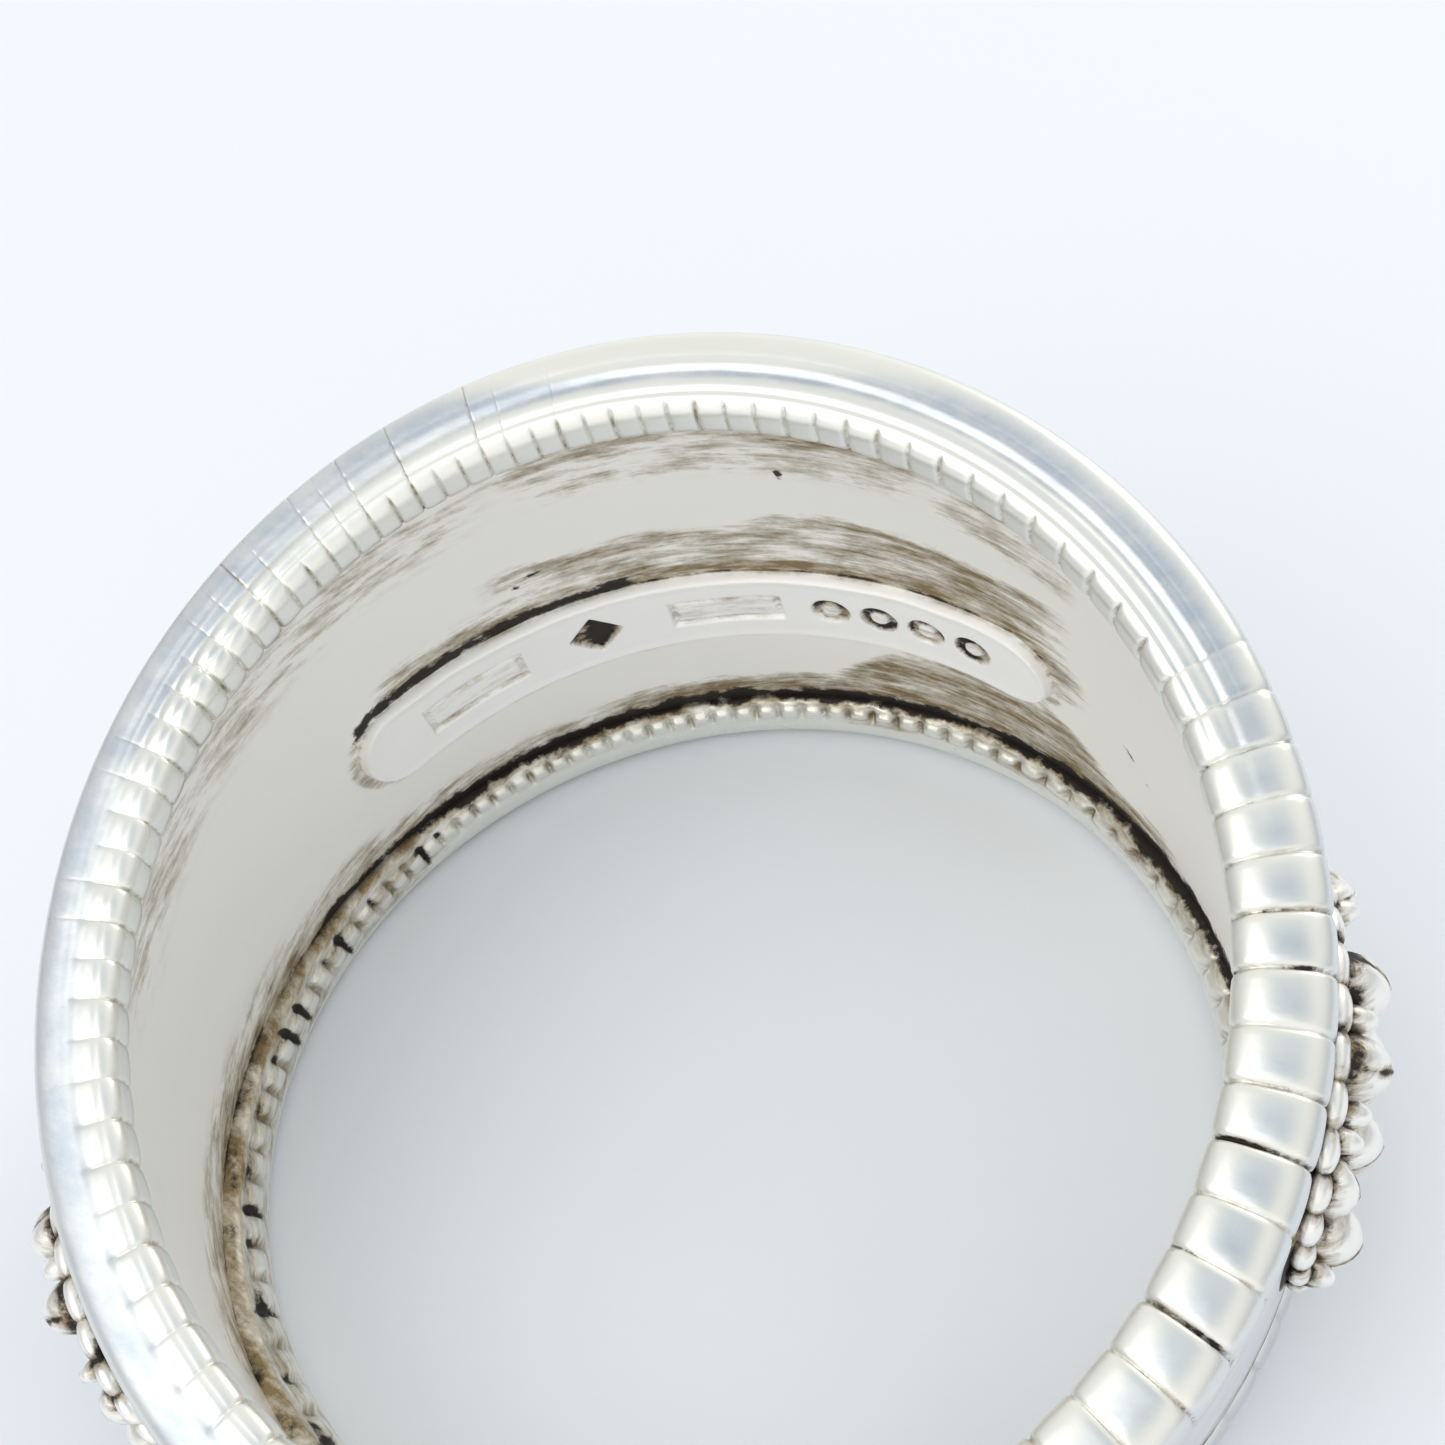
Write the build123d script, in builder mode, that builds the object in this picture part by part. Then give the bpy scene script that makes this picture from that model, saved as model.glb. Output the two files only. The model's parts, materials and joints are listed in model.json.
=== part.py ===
from build123d import *
import os
from math import atan, cos, degrees, pi, radians, sin

# Tapered silver band ring, lying on its side. All sizes are in millimetres and degrees.
# It is made round the Z axis, with its wide back to +Y, its narrow front to -Y and its middle at height 0,
# and is then laid down: it tips until its lower rim is flat on the resting face.

# Finger hole and width
bore_radius = 7.75          # inside of both beaded rims
back_width = 10.3           # over both rims at the back, where the band is widest
front_width = 3.1           # the same at the front
wall_thickness = 0.8        # silver sheet of the band
wall_set_back = 0.25        # how far the band's inside lies behind the rims' inside
wall_bulge = 0.2            # how far the middle of the band domes outwards

# Beaded rims
rim_depth = 1.33            # radial thickness of a rim
upper_rim_height = 0.8      # height of each rim along the bore
lower_rim_height = 1.1
rim_round = 0.3             # rounding along a rim's end face
bead_pitch = 0.6            # middle length of a bead along the rim
bead_grading = 0.3          # beads are this share longer at one side and shorter opposite
largest_bead_at = -60.0     # where they are longest
notch_width = 0.13          # saw cut between two beads
notch_depth = 0.22          # depth of that cut, in the end face and in the outer face
inner_notch_depth = 0.13    # depth of that cut in the finger hole's face, where beads are worn

# Raised plate inside the back
plate_height = 1.85         # along the bore
plate_centre = 98.0         # direction of its middle
plate_angle = 93.0          # arc from end to end
plate_level = -0.9          # height of its centre line
plate_rise = 0.2            # how far it stands off the band
punch_depth = 0.08          # shallow tool marks in the plate
bar_length = 2.0            # two bar marks
bar_height = 0.75
lozenge_size = 0.75         # side of the square mark, which stands on its corner
round_radius = 0.36         # four round marks
bar_shares = (-0.315, 0.042)    # places of the marks along the plate's arc, from its middle
lozenge_share = -0.137
round_shares = (0.183, 0.249, 0.315, 0.382)

# Two raised ornaments on the outside
motif_centres = (-1.0, -153.0)  # direction of each ornament's middle
motif_length = 6.4          # round the band
motif_height = 3.0          # along the bore
pad_rise = 0.16             # low oval pad under the bosses
motif_rise = 0.9            # highest boss above the band
boss_radius = 0.75
petal_radius = 0.48
petal_ring = 1.04           # distance of the petals from the boss
petal_count = 6
granule_radius = 0.22
bud_radius = 0.45
petal_share = 0.97          # petal tops, as shares of the highest boss's rise
bud_share = 0.9
granule_share = 0.75

overlap = 0.2               # how deep an added piece reaches into the band
clear = 0.3                 # how far a cutter reaches past what it cuts

# Radii and slopes that follow from the sizes above
rim_outer = bore_radius + rim_depth
rim_middle = bore_radius + rim_depth / 2
wall_inner_edge = bore_radius + wall_set_back
wall_outer_edge = wall_inner_edge + wall_thickness
wall_inner_middle = wall_inner_edge + wall_bulge
wall_outer_middle = wall_outer_edge + wall_bulge
mid_half = (back_width + front_width) / 4
slope = (back_width - front_width) / (4 * rim_middle)
tilt = degrees(atan(slope))
dome_half = back_width / 2
reach = rim_outer + motif_rise + clear
pad_radius = wall_outer_middle + pad_rise
plate_half = plate_height / 2
mark_reach = clear + punch_depth
motif_level = (lower_rim_height - upper_rim_height) / 2
rims = ((1, upper_rim_height), (-1, lower_rim_height))


def end_height(radius, angle):
    """Height of the upper rim's end face above the middle: it climbs towards +Y, the lower one mirrors it."""
    return mid_half + slope * radius * sin(radians(angle))


def wall_radius(edge_radius, height):
    """Radius of the domed band at a height: the edge's, plus a bulge that fades as a parabola."""
    return edge_radius + wall_bulge * (1 - (height / dome_half) ** 2)


plate_radius = wall_radius(wall_inner_edge, plate_level) - plate_rise


def radial_plane(angle):
    """Upright plane through the bore's axis: its x runs outwards and its y runs up the bore."""
    a = radians(angle)
    return Plane(origin=(0, 0, 0), x_dir=(cos(a), sin(a), 0), z_dir=(sin(a), -cos(a), 0))


def facing_plane(angle, radius, height=0.0):
    """Plane that looks outwards at a radius: its x runs round the band and its y runs up the bore."""
    a = radians(angle)
    origin = (radius * cos(a), radius * sin(a), height)
    return Plane(origin=origin, x_dir=(-sin(a), cos(a), 0), z_dir=(cos(a), sin(a), 0))


def plate_plane(share):
    """Plane just inside the plate's face, for a mark at a share of the plate's arc from its middle."""
    return facing_plane(plate_centre - share * plate_angle, plate_radius - clear, plate_level)


def on_band(angle, along, across, radius):
    """Place at a radius, a length along the band from an angle and across it from between the rims."""
    a = radians(angle) + along / wall_outer_middle
    return Location((radius * cos(a), radius * sin(a), motif_level + across), (0, 0, degrees(a)))


def bead_cut_angles():
    """Angles of the cuts between beads, which lie wide apart at the largest bead and close opposite it."""
    count = round(2 * pi * rim_middle / bead_pitch)
    steps = [2 * pi * (i + 0.5) / count for i in range(count)]
    return [largest_bead_at + degrees(step + bead_grading * sin(step)) for step in steps]


def cut_outline(rim_height):
    """Section of a cut between two beads, as radius and depth below the end face: an arch over the rim."""
    inner = bore_radius + inner_notch_depth
    outer = rim_outer - notch_depth
    foot = rim_height + clear
    return [(bore_radius - clear, -clear), (rim_outer + clear, -clear), (rim_outer + clear, foot),
            (outer, foot), (outer, 2 * notch_depth), (outer - notch_depth, notch_depth),
            (inner + notch_depth, notch_depth), (inner, 2 * notch_depth), (inner, foot),
            (bore_radius - clear, foot)]


def tilted_strip(side, low, high):
    """Corners, seen along X, of a strip between two depths below one rim's end face."""
    return [(y, side * (mid_half + slope * y - depth))
            for y, depth in ((-reach, low), (reach, low), (reach, high), (-reach, high))]


def make_rim(side, rim_height):
    """Round collar cut by two parallel slanted planes, rounded along its end face, its beads cut apart."""
    with BuildPart() as rim:
        # A quarter turn keeps the collar's start line off the band's, which is at the front
        Cylinder(rim_outer, 2 * reach, rotation=(0, 0, 90))
        Cylinder(bore_radius, 2 * reach, rotation=(0, 0, 90), mode=Mode.SUBTRACT)
        with BuildSketch(Plane.YZ):
            with BuildLine():
                Polyline(*tilted_strip(side, 0, rim_height), close=True)
            make_face()
        extrude(amount=reach, both=True, mode=Mode.INTERSECT)
        outlines = rim.edges().filter_by(GeomType.ELLIPSE)
        end_outlines = outlines.sort_by(lambda edge: side * edge.bounding_box().center().Z)[-2:]
        fillet(end_outlines, rim_round)
        # A cut between two beads runs over the end face and down the inner and outer faces
        for angle in bead_cut_angles():
            outline = [(r, side * (end_height(r, angle) - depth)) for r, depth in cut_outline(rim_height)]
            with BuildSketch(radial_plane(angle)):
                with BuildLine():
                    Polyline(*outline, close=True)
                make_face()
        extrude(amount=notch_width / 2, both=True, mode=Mode.SUBTRACT)
    return rim.part


# Domed wall of the band, cut off inside both rims
with BuildPart() as wall:
    with BuildSketch(radial_plane(-90)):
        with BuildLine():
            ThreePointArc((wall_inner_edge, -dome_half), (wall_inner_middle, 0), (wall_inner_edge, dome_half))
            Line((wall_inner_edge, dome_half), (wall_outer_edge, dome_half))
            ThreePointArc((wall_outer_edge, dome_half), (wall_outer_middle, 0), (wall_outer_edge, -dome_half))
            Line((wall_outer_edge, -dome_half), (wall_inner_edge, -dome_half))
        make_face()
    revolve(axis=Axis.Z)
    with BuildSketch(Plane.YZ):
        with BuildLine():
            upper, lower = (tilted_strip(side, height / 2, 0)[:2] for side, height in rims)
            Polyline(*upper, *reversed(lower), close=True)
        make_face()
    extrude(amount=reach, both=True, mode=Mode.INTERSECT)

# Curved strip with round ends, standing off the inside of the back
with BuildPart() as plate_body:
    straight = plate_angle - degrees(2 * plate_half / plate_radius)
    depth = wall_inner_middle - plate_radius + overlap
    with BuildSketch(radial_plane(plate_centre - straight / 2)):
        with Locations((plate_radius + depth / 2, plate_level)):
            Rectangle(depth, plate_height)
    revolve(axis=Axis.Z, revolution_arc=straight)
    ends = [plate_centre - straight / 2, plate_centre + straight / 2]
    with BuildSketch(*[facing_plane(end, plate_radius - overlap / 4, plate_level) for end in ends]):
        Circle(plate_half)
    extrude(amount=depth)

# Low oval pads that carry the bosses
with BuildPart() as pads:
    seats = [facing_plane(centre, wall_outer_edge - overlap, motif_level) for centre in motif_centres]
    with BuildSketch(*seats):
        Ellipse(motif_length / 2, motif_height / 2)
    extrude(amount=motif_length)
    Cylinder(pad_radius, motif_length, rotation=(0, 0, 90), mode=Mode.INTERSECT)
    Cylinder(wall_outer_edge - overlap, motif_length, rotation=(0, 0, 90), mode=Mode.SUBTRACT)

rim_parts = [make_rim(side, rim_height) for side, rim_height in rims]

with BuildPart() as ring:
    add(wall.part)
    add(plate_body.part)
    add(pads.part)
    # Each ornament is a flower: a boss, petals round it, granules in their gaps and two buds in line
    petal_turns = [2 * pi * i / petal_count for i in range(petal_count)]
    gap_turns = [turn + pi / petal_count for turn in petal_turns]
    bud_reach = motif_length / 2 - bud_radius - 2 * granule_radius
    tip_reach = bud_reach + bud_radius
    granule_ring = petal_ring + petal_radius - 2 * granule_radius
    beads = [
        (boss_radius, 1.0, [(0, 0)]),
        (petal_radius, petal_share, [(petal_ring * cos(t), petal_ring * sin(t)) for t in petal_turns]),
        (granule_radius, granule_share, [(granule_ring * cos(t), granule_ring * sin(t)) for t in gap_turns]),
        (bud_radius, bud_share, [(-bud_reach, 0), (bud_reach, 0)]),
        (granule_radius, granule_share, [(-tip_reach, 0), (tip_reach, 0)]),
    ]
    for radius, share, spots in beads:
        centre_radius = wall_outer_middle + share * motif_rise - radius
        with Locations(*[on_band(centre, x, y, centre_radius) for centre in motif_centres for x, y in spots]):
            Sphere(radius)
    add(rim_parts)
    # Shallow tool marks along the plate: a bar, a lozenge and a bar, then four rounds
    with BuildSketch(*[plate_plane(share) for share in bar_shares]):
        Rectangle(bar_length, bar_height)
    extrude(amount=mark_reach, mode=Mode.SUBTRACT)
    with BuildSketch(plate_plane(lozenge_share)):
        Rectangle(lozenge_size, lozenge_size, rotation=45)
    extrude(amount=mark_reach, mode=Mode.SUBTRACT)
    with BuildSketch(*[plate_plane(share) for share in round_shares]):
        Circle(round_radius)
    extrude(amount=mark_reach, mode=Mode.SUBTRACT)

# Lay the ring on its lower rim, with the middle of its outline over the origin
with BuildPart() as laid_ring:
    tipped = ring.part.rotate(Axis.X, tilt)
    outline_box = tipped.bounding_box()
    shift = (-outline_box.center().X, -outline_box.center().Y, -outline_box.min.Z)
    with Locations(shift):
        add(tipped)

laid_ring.part.label = "ring"
os.makedirs("parts", exist_ok=True)
export_step(laid_ring.part, "parts/ring.step")
print("volume mm3", round(laid_ring.part.volume, 1), "solids", len(laid_ring.part.solids()))
print("tilt", round(tilt, 3), "bore middle at", [round(x, 4) for x in shift])
print("size", laid_ring.part.bounding_box().size)
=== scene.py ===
# %% [markdown]
# A tapered silver band ring, seen from above as it lies on its side on a pale table.
# The real ring is one rigid piece: a domed band, a beaded rim at each end, a plate soldered inside the
# back and a raised flower on each flank. The solid model holds its size and place. This lesson gives each
# of those parts its own surface, worked out with arrays, and the finish of worn and tarnished silver.

# %% Load the solid model
import json
import math
import bmesh
import bpy
import numpy as np
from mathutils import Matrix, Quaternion, Vector


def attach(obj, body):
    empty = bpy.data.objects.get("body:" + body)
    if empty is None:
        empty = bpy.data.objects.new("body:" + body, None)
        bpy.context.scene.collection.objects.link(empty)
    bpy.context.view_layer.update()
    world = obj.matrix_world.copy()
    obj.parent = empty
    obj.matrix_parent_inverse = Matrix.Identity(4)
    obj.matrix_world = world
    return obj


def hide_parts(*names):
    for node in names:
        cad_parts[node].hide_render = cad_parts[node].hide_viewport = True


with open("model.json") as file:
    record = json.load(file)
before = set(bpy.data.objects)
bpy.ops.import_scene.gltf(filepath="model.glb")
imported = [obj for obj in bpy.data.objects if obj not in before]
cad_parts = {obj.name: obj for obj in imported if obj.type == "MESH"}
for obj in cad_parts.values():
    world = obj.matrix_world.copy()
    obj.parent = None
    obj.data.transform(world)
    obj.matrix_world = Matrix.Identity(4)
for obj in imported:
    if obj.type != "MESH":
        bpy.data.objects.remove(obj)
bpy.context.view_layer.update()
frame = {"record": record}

# %% [markdown]
# The ring is wide at the back and narrow at the front, so when it lies on its lower rim its finger hole
# leans forwards. Surfaces are easier to work out in the hole's own frame, with the hole along Z and its
# middle at height 0. The stated mount gives the hole's middle and direction, and so the way back.

# %% The finger hole's own frame
MM = 0.001
mount = frame["record"]["mounts"][0]
bore_radius = mount["dims"]["r_mm"]
bore_middle = np.array(mount["pos_m"]) / MM
lean = math.atan2(-mount["axis"][1], mount["axis"][2])
slope = math.tan(lean)
middle_half = bore_middle[2] / math.cos(lean)


def lay_down(points):
    """From the hole's frame to the table: a turn about X by the lean, then a move to the hole's middle."""
    x, y, z = points.T
    turned = np.stack([x, y * math.cos(lean) - z * math.sin(lean), y * math.sin(lean) + z * math.cos(lean)])
    return turned.T + bore_middle


def end_height(radius, angle):
    """Height of the upper end face: it climbs to the back by the slope, and the lower face mirrors it."""
    return middle_half + slope * radius * np.sin(angle)


print("bore radius", bore_radius, "mm, lean", round(math.degrees(lean), 1), "degrees")

# %% [markdown]
# The photograph looks down into the finger hole from the front, a little from one side, and the ring
# fills the frame, so the camera is only some 34 mm away. It could be placed by eye. Here it is placed as a
# photographer would tell it: what it aims at, how far off it is, from which side, how high and how rolled.

# %% Camera
camera_distance = 33.8
camera_azimuth = 20.14
camera_elevation = 47.12
camera_roll = -15.04
camera_aim = Vector((-0.642, 5.715, 3.28))
camera_lens = 49.8


def direction(azimuth, elevation):
    """Unit vector from the ring: azimuth turns in degrees from the front to the right, elevation lifts it."""
    azimuth = math.radians(azimuth)
    elevation = math.radians(elevation)
    return Vector((math.sin(azimuth) * math.cos(elevation), -math.cos(azimuth) * math.cos(elevation),
                   math.sin(elevation)))


def make_camera():
    """Camera on a sphere round its aim, turned to look at it and then rolled."""
    away = direction(camera_azimuth, camera_elevation)
    camera = bpy.data.objects.new("camera", bpy.data.cameras.new("camera"))
    camera.data.lens = camera_lens
    camera.data.clip_start = 1 * MM
    camera.data.clip_end = 2000 * MM
    camera.location = (camera_aim + away * camera_distance) * MM
    camera.rotation_mode = "QUATERNION"
    camera.rotation_quaternion = ((-away).to_track_quat("-Z", "Y")
                                  @ Quaternion((0, 0, 1), math.radians(camera_roll)))
    bpy.context.scene.collection.objects.link(camera)
    bpy.context.scene.camera = camera
    return camera


camera = make_camera()
print("camera at", [round(x / MM, 1) for x in camera.location], "mm")

# %% [markdown]
# Every surface below is a grid of points. Rows run one way and columns the other, and either way may
# close on itself. Faces are worked out as whole index arrays. Three values are kept beside the points:
# painted_reflection, a painted blue-grey reflection of the darker camera side, film, a thin brown stain,
# and crust, the black that fills crevices. Each runs from 0 on open metal to 1 where it is strongest.

# %% Grids to meshes
merge_distance = 0.0005


def grid_faces(rows, columns, close_rows, close_columns):
    """Corner numbers of the quads: each joins a point, the next in its row, and the two above them."""
    last_row = rows if close_rows else rows - 1
    last_column = columns if close_columns else columns - 1
    i, j = np.meshgrid(np.arange(last_row), np.arange(last_column), indexing="ij")
    next_i = (i + 1) % rows
    next_j = (j + 1) % columns
    corners = [i * columns + j, i * columns + next_j, next_i * columns + next_j, next_i * columns + j]
    return np.stack(corners, axis=-1).reshape(-1, 4)


def add_mesh(name, points, faces, film, crust, material, painted_reflection=None):
    """Object at the origin from points in the hole's frame, quads, and each point's tarnish and painted
    reflection values.
    """
    mesh = bpy.data.meshes.new(name)
    mesh.vertices.add(len(points))
    mesh.vertices.foreach_set("co", (lay_down(points) * MM).astype(np.float32).ravel())
    mesh.loops.add(faces.size)
    mesh.loops.foreach_set("vertex_index", faces.astype(np.int32).ravel())
    mesh.polygons.add(len(faces))
    mesh.polygons.foreach_set("loop_start", np.arange(0, faces.size, 4, dtype=np.int32))
    mesh.update(calc_edges=True)
    painted_reflection = np.zeros_like(film) if painted_reflection is None else painted_reflection
    for label, values in (("film", film), ("crust", crust), ("painted_reflection", painted_reflection)):
        attribute = mesh.attributes.new(label, "FLOAT", "POINT")
        attribute.data.foreach_set("value", values.astype(np.float32).ravel())
    shape = bmesh.new()
    shape.from_mesh(mesh)
    bmesh.ops.remove_doubles(shape, verts=shape.verts, dist=merge_distance * MM)
    shape.to_mesh(mesh)
    shape.free()
    mesh.polygons.foreach_set("use_smooth", np.ones(len(mesh.polygons), bool))
    piece = bpy.data.objects.new(name, mesh)
    bpy.context.scene.collection.objects.link(piece)
    mesh.materials.append(material)
    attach(piece, "root")
    print(name, len(points), "points,", 2 * len(faces), "triangles")
    return piece


def around(radius, angle, height):
    """Points from a radius, an angle in radians from +X and a height, all arrays of one shape."""
    return np.stack([radius * np.cos(angle), radius * np.sin(angle), height], axis=-1)


def wander(angle, seed, slowest, fastest):
    """Smooth random drift round the ring: a sum of cosines of the angle, from -1 to 1, the same each run."""
    draw = np.random.default_rng(seed)
    total = np.zeros_like(angle)
    for turns in range(slowest, fastest + 1):
        total += draw.uniform(0.4, 1.0) * np.cos(turns * angle + draw.uniform(0, 2 * np.pi)) / turns**0.5
    return total / np.abs(total).max()


def bump(x, middle, reach):
    """Bell curve: 1 at its middle, falling as the square of the distance over its reach."""
    return np.exp(-((x - middle) / reach) ** 2)


def fade(x, start, end):
    """Smooth step from 0 at the start to 1 at the end."""
    t = np.clip((x - start) / (end - start), 0, 1)
    return t * t * (3 - 2 * t)


def stretch_of(angle, start, end, soft):
    """1 between two directions in degrees, the smaller first, fading over the soft degrees beyond either."""
    if end - start >= 360:
        return np.ones_like(angle)
    middle = (start + end) / 2
    turn = (np.degrees(angle) - middle + 180) % 360 - 180
    return fade((end - start) / 2 + soft - np.abs(turn), 0, soft)

# %% [markdown]
# Silver is nearly white, and worn silver has two more layers on it. Fingers and cloths leave fine
# scratches that run round the ring, and where nothing rubs, sulphur leaves a skin that is brown and
# then black. Over them lies a painted blue-grey reflection of the darker camera side.
# An image could hold both. Here they are node groups that read Object coordinates, turned into the hole's
# frame, so every piece can use them at one scale and nothing slides when the ring is turned.

# %% Shader helpers


def add_node(tree, kind, inputs=None, **settings):
    """Node of a kind with its settings, and a value or a link for each named or numbered input."""
    node = tree.nodes.new(kind)
    for key, value in settings.items():
        setattr(node, key, value)
    for key, value in (inputs or {}).items():
        if isinstance(value, bpy.types.NodeSocket):
            tree.links.new(value, node.inputs[key])
        else:
            node.inputs[key].default_value = value
    return node


def stretched_noise(tree, scale, detail, roughness=0.6):
    """Noise in the hole's frame, with its own scale along each axis, in cycles per metre."""
    place = add_node(tree, "ShaderNodeTexCoord")
    upright = add_node(tree, "ShaderNodeMapping",
                       {"Vector": place.outputs["Object"], "Rotation": (-lean, 0, 0)})
    mapping = add_node(tree, "ShaderNodeMapping", {"Vector": upright.outputs[0], "Scale": scale})
    noise = add_node(tree, "ShaderNodeTexNoise", {"Vector": mapping.outputs[0], "Scale": 1.0,
                     "Detail": detail, "Roughness": roughness})
    return noise.outputs[0]


def remap(tree, value, low, high, to_low=0.0, to_high=1.0):
    """Value from one range to another, held at its ends."""
    node = add_node(tree, "ShaderNodeMapRange", {"Value": value, "From Min": low, "From Max": high,
                    "To Min": to_low, "To Max": to_high})
    return node.outputs[0]


def math_node(tree, operation, first, second):
    """One sum, product or other operation on two values."""
    return add_node(tree, "ShaderNodeMath", {0: first, 1: second}, operation=operation).outputs[0]


def new_group(name, inputs, outputs):
    """Node group with named inputs and outputs, each a pair of a name and a socket type."""
    group = bpy.data.node_groups.new(name, "ShaderNodeTree")
    for label, kind, default in inputs:
        socket = group.interface.new_socket(label, in_out="INPUT", socket_type=kind)
        socket.default_value = default
    for label, kind in outputs:
        group.interface.new_socket(label, in_out="OUTPUT", socket_type=kind)
    return group, add_node(group, "NodeGroupInput"), add_node(group, "NodeGroupOutput")

# %% Group: rubbed silver, its fine scratches and soft dents
scratch_scale = (900, 900, 14000)
dent_scale = (500, 500, 700)
smear_scale = (160, 160, 520)
scratch_relief = 0.01 * MM
dent_relief = 0.12 * MM


def rubbed_silver_group():
    """Normal and roughness of silver that has been worn and wiped, with scratches that run round the ring."""
    group, given, result = new_group("rubbed_silver",
        [("Scratch Depth", "NodeSocketFloat", 0.3), ("Dent Depth", "NodeSocketFloat", 0.3),
         ("Base Roughness", "NodeSocketFloat", 0.2)],
        [("Normal", "NodeSocketVector"), ("Roughness", "NodeSocketFloat")])
    scratches = stretched_noise(group, scratch_scale, 6, 0.7)
    dents = stretched_noise(group, dent_scale, 3, 0.5)
    smears = stretched_noise(group, smear_scale, 4, 0.6)
    depth = math_node(group, "MULTIPLY", scratches, given.outputs["Scratch Depth"])
    soft = math_node(group, "MULTIPLY", dents, given.outputs["Dent Depth"])
    fine = add_node(group, "ShaderNodeBump", {"Height": depth, "Distance": scratch_relief, "Strength": 1.0})
    both = add_node(group, "ShaderNodeBump", {"Height": soft, "Distance": dent_relief, "Strength": 1.0,
                    "Normal": fine.outputs[0]})
    uneven = remap(group, smears, 0.35, 0.7, -0.05, 0.12)
    rough = math_node(group, "ADD", given.outputs["Base Roughness"], uneven)
    group.links.new(both.outputs[0], result.inputs["Normal"])
    group.links.new(rough, result.inputs["Roughness"])
    return group


rubbed_silver = rubbed_silver_group()
print("group", rubbed_silver.name, "ready")

# %% Group: tarnish, a brown film in fine streaks and a black crust with ragged edges, and a painted blue-grey reflection
tarnish_and_reflection_layers = ("Film", "Crust", "Painted_reflection")
streak_scale = (900, 900, 6500)
blot_scale = (1500, 1500, 2600)


def tarnish_and_reflection_group():
    """Masks of the tarnish and of the painted reflection: film and crust push a noise over a threshold, so
    the stains have ragged edges, and the painted reflection is broken into streaks.
    """
    group, given, result = new_group("tarnish",
        [(label, "NodeSocketFloat", 0.0) for label in tarnish_and_reflection_layers],
        [(label, "NodeSocketFloat") for label in tarnish_and_reflection_layers])
    streaks = stretched_noise(group, streak_scale, 7, 0.72)
    blots = stretched_noise(group, blot_scale, 6, 0.7)
    film_noise = remap(group, math_node(group, "ADD", math_node(group, "MULTIPLY", streaks, 0.65),
                       math_node(group, "MULTIPLY", blots, 0.35)), 0.36, 0.64, -0.62, 0.62)
    some = remap(group, given.outputs["Film"], 0.0, 0.15)
    film = remap(group, math_node(group, "ADD", given.outputs["Film"],
                 math_node(group, "MULTIPLY", film_noise, some)), 0.0, 1.0)
    crust_noise = remap(group, blots, 0.34, 0.66, -0.42, 0.42)
    most = remap(group, given.outputs["Crust"], 0.0, 0.25)
    crust = remap(group, math_node(group, "ADD", given.outputs["Crust"],
                  math_node(group, "MULTIPLY", crust_noise, most)), 0.42, 0.72)
    # Painted reflection: a blue-grey stand-in for the darker camera side mirrored in the metal, broken into
    # streaks.
    painted_reflection = math_node(group, "MULTIPLY", given.outputs["Painted_reflection"], remap(group, streaks, 0.35, 0.6, 0.55, 1.0))
    group.links.new(painted_reflection, result.inputs["Painted_reflection"])
    group.links.new(math_node(group, "MULTIPLY", film, some), result.inputs["Film"])
    group.links.new(math_node(group, "MULTIPLY", crust, most), result.inputs["Crust"])
    return group


# The tarnish group gives the tarnish masks and also the mask of the painted blue-grey reflection.
tarnish = tarnish_and_reflection_group()
print("group", tarnish.name, "ready")

# %% Material maker
# The blue-grey is a painted reflection of the darker camera side; the brown and the black are tarnish.
painted_reflection_grey = (0.52, 0.57, 0.64)
film_colour = (0.30, 0.225, 0.12)
crust_colour = (0.022, 0.017, 0.013)


def silver_material(name, roughness, scratch_depth, dent_depth, white, mirror=1.0):
    """Silver that tarnish turns brown and black, under a painted blue-grey reflection. Mirror is the metallic
    share, the rest matt.
    """
    material = bpy.data.materials.new(name)
    material.use_nodes = True
    tree = material.node_tree
    shader = tree.nodes["Principled BSDF"]
    masks = add_node(tree, "ShaderNodeGroup", node_tree=tarnish)
    for label in tarnish_and_reflection_layers:
        value = add_node(tree, "ShaderNodeAttribute", attribute_name=label.lower())
        tree.links.new(value.outputs["Fac"], masks.inputs[label])
    worn = add_node(tree, "ShaderNodeGroup", node_tree=rubbed_silver)
    for label, value in (("Scratch Depth", scratch_depth), ("Dent Depth", dent_depth),
                         ("Base Roughness", roughness)):
        worn.inputs[label].default_value = value
    # The painted blue-grey reflection is mixed in first, then the brown film and the black crust.
    reflection_tinted = add_node(tree, "ShaderNodeMix", {"Factor": masks.outputs["Painted_reflection"], "A": (*white, 1),
                     "B": (*painted_reflection_grey, 1)}, data_type="RGBA")
    filmed = add_node(tree, "ShaderNodeMix", {"Factor": masks.outputs["Film"], "A": reflection_tinted.outputs["Result"],
                      "B": (*film_colour, 1)}, data_type="RGBA")
    coated = add_node(tree, "ShaderNodeMix", {"Factor": masks.outputs["Crust"], "A": filmed.outputs["Result"],
                      "B": (*crust_colour, 1)}, data_type="RGBA")
    rough = math_node(tree, "ADD", worn.outputs["Roughness"],
                      math_node(tree, "MULTIPLY", masks.outputs["Film"], 0.22))
    metal = remap(tree, masks.outputs["Crust"], 0, 1, mirror, 0.5 * mirror)
    for socket, label in ((coated.outputs["Result"], "Base Color"), (rough, "Roughness"),
                          (metal, "Metallic"), (worn.outputs["Normal"], "Normal")):
        tree.links.new(socket, shader.inputs[label])
    return material


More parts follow.
